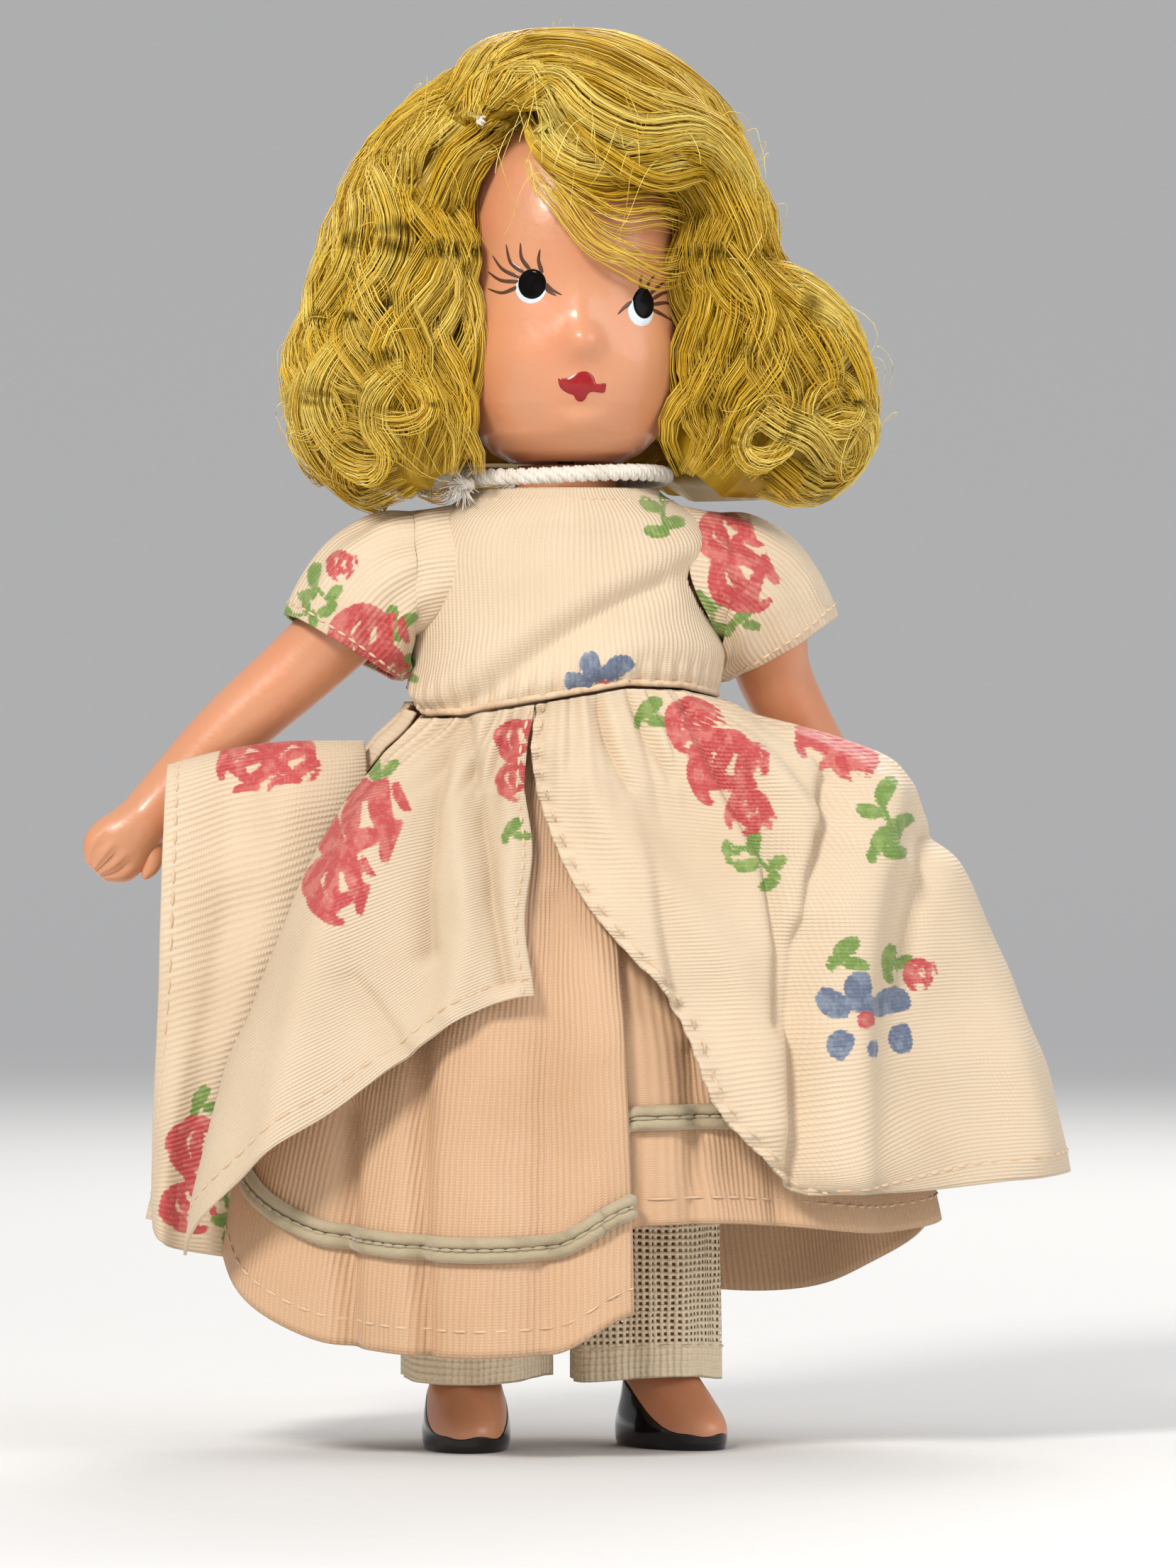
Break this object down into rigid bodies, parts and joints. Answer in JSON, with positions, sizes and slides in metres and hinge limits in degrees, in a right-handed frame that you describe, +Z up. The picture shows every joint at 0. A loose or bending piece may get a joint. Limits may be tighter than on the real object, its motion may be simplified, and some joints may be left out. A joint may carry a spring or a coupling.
{
  "type": "dressed doll",
  "caption": "Small standing doll with moulded limbs, painted face, mohair wig and a gathered printed dress over pantaloons; head, arms and legs turn.",
  "frame": {"origin": "middle of the bounding box on the ground, between the soles", "axes": "+Z up from the soles to the crown of the wig, -Y the way the face looks, +X the doll's left"},
  "size_m": [0.0976, 0.0522, 0.1402],
  "materials": {
    "bisque": "satin",
    "mohair": "satin",
    "faille": "satin",
    "taffeta": "satin",
    "gauze": "matte",
    "braid": "matte",
    "white_thread": "matte",
    "black_thread": "matte",
    "steel": "satin",
    "elastic": "matte"
  },
  "bodies": {
    "torso": {"torso": "bisque", "bodice_front": "faille", "bodice_back_left": "faille", "bodice_back_right": "faille", "safety_pin": "steel", "waist_thread": "black_thread", "overskirt_left": "faille", "overskirt_left_hem": "faille", "overskirt_right": "faille", "overskirt_flap": "faille", "overskirt_back": "faille", "underskirt": "taffeta", "underskirt_braid": "braid", "pantaloon_seat": "gauze", "neck_cord": "white_thread", "neck_cord_knot": "white_thread", "arm_elastic": "elastic", "leg_elastic": "elastic", "head_elastic": "elastic"},
    "head": {"head": "bisque", "head_crossbar": "steel", "wig_cap": "mohair", "hair_crown": "mohair", "hair_curl_left": "mohair", "hair_curl_right": "mohair", "hair_back": "mohair", "parting_thread": "white_thread"},
    "arm_left": {"arm_left": "bisque", "sleeve_left": "faille", "arm_hook_left": "steel"},
    "arm_right": {"arm_right": "bisque", "sleeve_right": "faille", "arm_hook_right": "steel"},
    "leg_left": {"leg_left": "bisque", "pantaloon_leg_left": "gauze", "leg_hook_left": "steel"},
    "leg_right": {"leg_right": "bisque", "pantaloon_leg_right": "gauze", "leg_hook_right": "steel"}
  },
  "joints": [
    {"name": "head_turn", "type": "hinge", "parent": "torso", "child": "head", "pos_m": [0, 0, 0.098], "axis": [0, 0, 1], "range_deg": [-90, 90]},
    {"name": "shoulder_left", "type": "hinge", "parent": "torso", "child": "arm_left", "pos_m": [0.012, 0, 0.0875], "axis": [-1, 0, 0], "range_deg": [-50, 90], "deforming": ["overskirt_left"]},
    {"name": "shoulder_right", "type": "hinge", "parent": "torso", "child": "arm_right", "pos_m": [-0.012, 0, 0.0875], "axis": [-1, 0, 0], "range_deg": [-50, 90], "deforming": ["overskirt_flap"]},
    {"name": "hip_left", "type": "hinge", "parent": "torso", "child": "leg_left", "pos_m": [0.0078, 0, 0.06], "axis": [-1, 0, 0], "range_deg": [-17, 17]},
    {"name": "hip_right", "type": "hinge", "parent": "torso", "child": "leg_right", "pos_m": [-0.0078, 0, 0.06], "axis": [-1, 0, 0], "range_deg": [-17, 17]}
  ]
}
